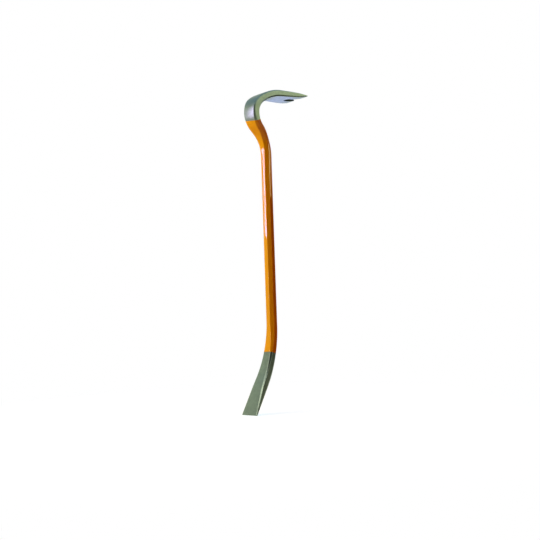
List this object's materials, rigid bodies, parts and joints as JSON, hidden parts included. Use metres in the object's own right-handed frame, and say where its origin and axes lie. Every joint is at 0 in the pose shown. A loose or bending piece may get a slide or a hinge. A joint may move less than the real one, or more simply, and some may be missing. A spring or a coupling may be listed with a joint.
{
  "type": "crowbar",
  "caption": "Gooseneck wrecking bar with a slotted, flared nail claw, an octagonal lacquered shank and a flared, angled chisel end.",
  "frame": {"origin": "on the shank's axis, at the middle of the straight octagonal shank", "axes": "+Z along the shank towards the gooseneck, +X the way the nail claw points, Y across the widths of claw and chisel"},
  "size_m": [0.169, 0.0536, 0.6053],
  "materials": {
    "ground_steel": "belt-ground satin",
    "forged_steel": "as forged, under the lacquer",
    "orange_lacquer": "gloss"
  },
  "bodies": {
    "root": {"left_tine": "ground_steel", "right_tine": "ground_steel", "claw_blade": "ground_steel", "gooseneck_hook": "ground_steel", "upper_neck": "forged_steel", "octagonal_shank": "forged_steel", "lower_neck": "forged_steel", "chisel_blade": "ground_steel", "lacquer_coat": "orange_lacquer"}
  },
  "joints": []
}
